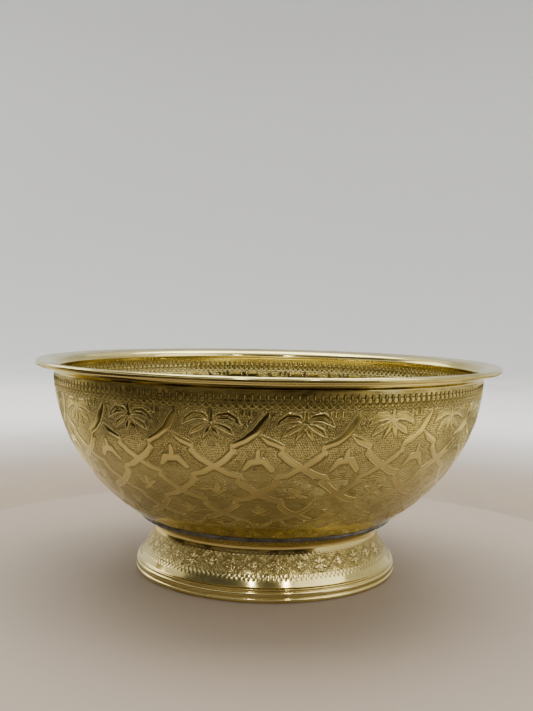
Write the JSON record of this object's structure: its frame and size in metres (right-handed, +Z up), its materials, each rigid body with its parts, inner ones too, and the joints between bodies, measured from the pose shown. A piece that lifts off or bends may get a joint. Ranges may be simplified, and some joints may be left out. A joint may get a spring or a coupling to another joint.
{
  "type": "footed brass bowl",
  "caption": "Wide round engraved brass bowl with a flared rolled lip, soldered to a splayed hollow foot ring that stands flat.",
  "frame": {"origin": "centre of the foot's standing face, on the table", "axes": "+Z up along the bowl's turning axis; X and Y are any two level directions, since the bowl is round"},
  "size_m": [0.305, 0.305, 0.1382],
  "materials": {
    "bowl_brass": "polished, engraved and stippled, with a light patina in the cuts",
    "lip_wire_steel": "drawn",
    "foot_brass": "polished, engraved and stippled",
    "hem_wire_steel": "drawn",
    "solder": "dull, as run"
  },
  "bodies": {
    "root": {"bowl": "bowl_brass", "lip_wire": "lip_wire_steel", "foot": "foot_brass", "hem_wire": "hem_wire_steel", "solder_seam": "solder"}
  },
  "joints": []
}
